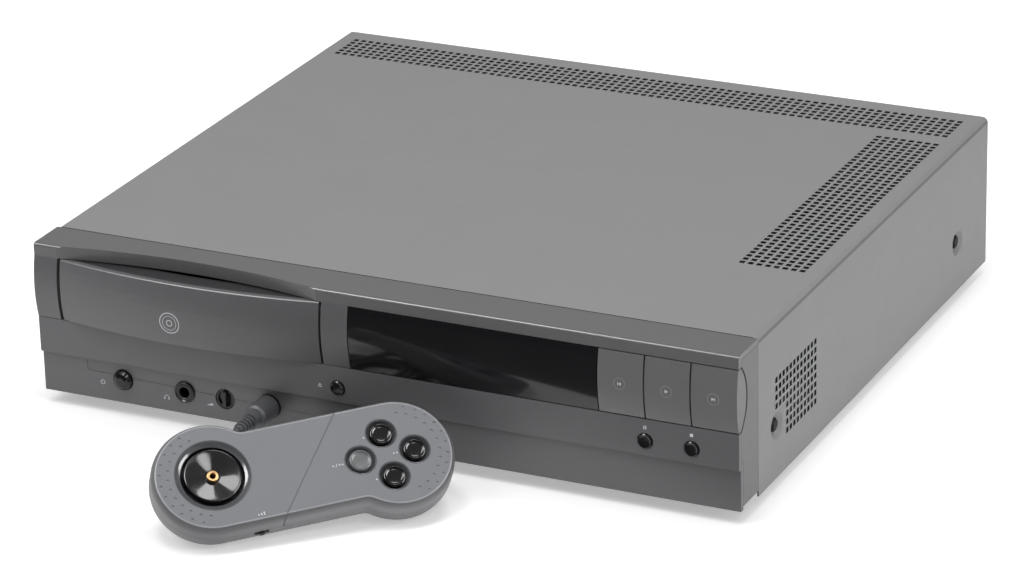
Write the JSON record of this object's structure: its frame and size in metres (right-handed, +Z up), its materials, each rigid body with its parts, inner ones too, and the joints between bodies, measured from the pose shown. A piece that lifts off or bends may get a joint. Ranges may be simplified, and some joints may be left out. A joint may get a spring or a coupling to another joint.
{
  "type": "interactive disc player",
  "caption": "Home disc player with a sliding disc drawer, display window, transport keys, volume wheel and a plugged-in two-lobed hand controller leaning in front.",
  "frame": {"origin": "on the table, under the middle of the console and controller together", "axes": "+X to the right along the front, +Y to the rear, +Z up"},
  "size_m": [0.42, 0.517, 0.097],
  "materials": {
    "cover_steel": "satin textured paint",
    "pan_steel": "zinc plated",
    "front_plastic": "satin",
    "window_plastic": "glossy dark",
    "dark_plastic": "satin",
    "gloss_black": "glossy",
    "pad_plastic": "fine texture",
    "inner_plastic": "moulded",
    "board": "lacquered",
    "machined": "satin",
    "rod_steel": "ground",
    "black_screw": "black oxide",
    "foot_rubber": "matte",
    "belt_rubber": "matte",
    "brass": "turned",
    "cord": "matte"
  },
  "bodies": {
    "console": {"top_cover": "cover_steel", "chassis_pan": "pan_steel", "rear_panel": "cover_steel", "feet": "foot_rubber", "case_screws": "black_screw", "fascia_frame": "front_plastic", "fascia_cap": "front_plastic", "fascia_panel": "front_plastic", "display_window": "window_plastic", "display_module": "dark_plastic", "front_board": "board", "phones_jack": "dark_plastic", "controller_socket": "dark_plastic", "volume_pot": "machined", "power_switch": "dark_plastic", "mechanism_deck": "inner_plastic", "clamp_bridge": "machined", "loading_belt": "belt_rubber", "loading_motor": "machined", "spindle_motor": "machined", "sled_rods": "rod_steel", "sled_motor": "machined", "main_board": "board", "power_board": "board", "power_transformer": "pan_steel", "audio_video_sockets": "machined", "mains_inlet": "dark_plastic", "pad_top_shell": "pad_plastic", "pad_bottom_shell": "pad_plastic", "pad_board": "board", "pad_screws": "rod_steel", "controller_plug": "dark_plastic", "cord_lead": "cord", "cord_coil": "cord", "cord_tail": "cord", "cord_relief": "cord"},
    "drawer": {"drawer_front": "front_plastic", "disc_tray": "inner_plastic"},
    "loading_gear_body": {"loading_gear": "inner_plastic"},
    "motor_pulley_body": {"motor_pulley": "inner_plastic"},
    "turntable_body": {"turntable": "machined"},
    "clamp_body": {"clamp_puck": "dark_plastic"},
    "sled_body": {"laser_sled": "inner_plastic"},
    "sled_gear_body": {"sled_gear": "dark_plastic"},
    "volume_body": {"volume_knob": "dark_plastic"},
    "power_body": {"power_button": "front_plastic"},
    "previous_body": {"previous_key": "front_plastic"},
    "play_body": {"play_key": "front_plastic"},
    "next_body": {"next_key": "front_plastic"},
    "open_body": {"open_button": "front_plastic"},
    "pause_body": {"pause_button": "front_plastic"},
    "stop_body": {"stop_button": "front_plastic"},
    "gimbal_body": {"thumb_gimbal": "dark_plastic"},
    "thumb_body": {"thumb_disc": "gloss_black", "thumb_insert": "brass"},
    "pad_north_body": {"pad_button_north": "gloss_black"},
    "pad_east_body": {"pad_button_east": "gloss_black"},
    "pad_south_body": {"pad_button_south": "gloss_black"},
    "pad_west_body": {"pad_button_west": "pad_plastic"},
    "speed_body": {"speed_switch": "dark_plastic"}
  },
  "joints": [
    {"name": "drawer_slide", "type": "slide", "parent": "console", "child": "drawer", "axis": [0, -1, 0], "range_m": [0, 0.15]},
    {"name": "loading_gear_spin", "type": "hinge", "parent": "console", "child": "loading_gear_body", "pos_m": [-0.1655, -0.07095, 0.058], "axis": [0, 0, 1], "range_deg": [0, 690]},
    {"name": "motor_pulley_spin", "type": "hinge", "parent": "console", "child": "motor_pulley_body", "pos_m": [-0.128, -0.07095, 0.052], "axis": [0, 0, 1], "range_deg": [0, 2580]},
    {"name": "turntable_spin", "type": "hinge", "parent": "console", "child": "turntable_body", "pos_m": [-0.113, -0.03695, 0.062], "axis": [0, 0, 1], "continuous": true},
    {"name": "clamp_spin", "type": "hinge", "parent": "console", "child": "clamp_body", "pos_m": [-0.113, -0.03695, 0.075], "axis": [0, 0, 1], "continuous": true},
    {"name": "sled_slide", "type": "slide", "parent": "console", "child": "sled_body", "axis": [0, 1, 0], "range_m": [0, 0.032]},
    {"name": "sled_gear_spin", "type": "hinge", "parent": "console", "child": "sled_gear_body", "pos_m": [-0.075, 0.01005, 0.052], "axis": [0, 0, 1], "range_deg": [-230, 0]},
    {"name": "volume_turn", "type": "hinge", "parent": "console", "child": "volume_body", "pos_m": [-0.0952, -0.11295, 0.0209], "axis": [0, 1, 0], "range_deg": [-135, 135]},
    {"name": "power_press", "type": "slide", "parent": "console", "child": "power_body", "axis": [0, 1, 0], "range_m": [0, 0.003], "stiffness_N_per_m": 500, "springref_m": -0.0009},
    {"name": "previous_press", "type": "slide", "parent": "console", "child": "previous_body", "axis": [0, 1, 0], "range_m": [0, 0.0008], "stiffness_N_per_m": 1500, "springref_m": -0.00024},
    {"name": "play_press", "type": "slide", "parent": "console", "child": "play_body", "axis": [0, 1, 0], "range_m": [0, 0.0008], "stiffness_N_per_m": 1500, "springref_m": -0.00024},
    {"name": "next_press", "type": "slide", "parent": "console", "child": "next_body", "axis": [0, 1, 0], "range_m": [0, 0.0008], "stiffness_N_per_m": 1500, "springref_m": -0.00024},
    {"name": "open_press", "type": "slide", "parent": "console", "child": "open_body", "axis": [0, 1, 0], "range_m": [0, 0.001], "stiffness_N_per_m": 1200, "springref_m": -0.0003},
    {"name": "pause_press", "type": "slide", "parent": "console", "child": "pause_body", "axis": [0, 1, 0], "range_m": [0, 0.001], "stiffness_N_per_m": 1200, "springref_m": -0.0003},
    {"name": "stop_press", "type": "slide", "parent": "console", "child": "stop_body", "axis": [0, 1, 0], "range_m": [0, 0.001], "stiffness_N_per_m": 1200, "springref_m": -0.0003},
    {"name": "thumb_tilt_along", "type": "hinge", "parent": "console", "child": "gimbal_body", "pos_m": [-0.04225, -0.227, 0.02737], "axis": [0.766, 0.6428, 0], "range_deg": [-8, 8], "stiffness_Nm_per_rad": 0.4},
    {"name": "thumb_tilt_across", "type": "hinge", "parent": "gimbal_body", "child": "thumb_body", "pos_m": [-0.04225, -0.227, 0.02737], "axis": [-0.4906, 0.5847, 0.6461], "range_deg": [-8, 8], "stiffness_Nm_per_rad": 0.4},
    {"name": "pad_north_press", "type": "slide", "parent": "console", "child": "pad_north_body", "axis": [-0.4153, 0.495, -0.7632], "range_m": [0, 0.0015], "stiffness_N_per_m": 600, "springref_m": -0.0005},
    {"name": "pad_east_press", "type": "slide", "parent": "console", "child": "pad_east_body", "axis": [-0.4153, 0.495, -0.7632], "range_m": [0, 0.0015], "stiffness_N_per_m": 600, "springref_m": -0.0005},
    {"name": "pad_south_press", "type": "slide", "parent": "console", "child": "pad_south_body", "axis": [-0.4153, 0.495, -0.7632], "range_m": [0, 0.0015], "stiffness_N_per_m": 600, "springref_m": -0.0005},
    {"name": "pad_west_press", "type": "slide", "parent": "console", "child": "pad_west_body", "axis": [-0.4153, 0.495, -0.7632], "range_m": [0, 0.0015], "stiffness_N_per_m": 600, "springref_m": -0.0005},
    {"name": "speed_slide", "type": "slide", "parent": "console", "child": "speed_body", "axis": [0.7223, 0.6895, 0.0541], "range_m": [-0.0022, 0.0022]}
  ],
  "couplings": [
    {"joint": "loading_gear_spin", "follows": "drawer_slide", "rad_per_m": 80},
    {"joint": "motor_pulley_spin", "follows": "drawer_slide", "rad_per_m": 300},
    {"joint": "clamp_spin", "follows": "turntable_spin", "ratio": 1},
    {"joint": "sled_gear_spin", "follows": "sled_slide", "rad_per_m": -125}
  ]
}
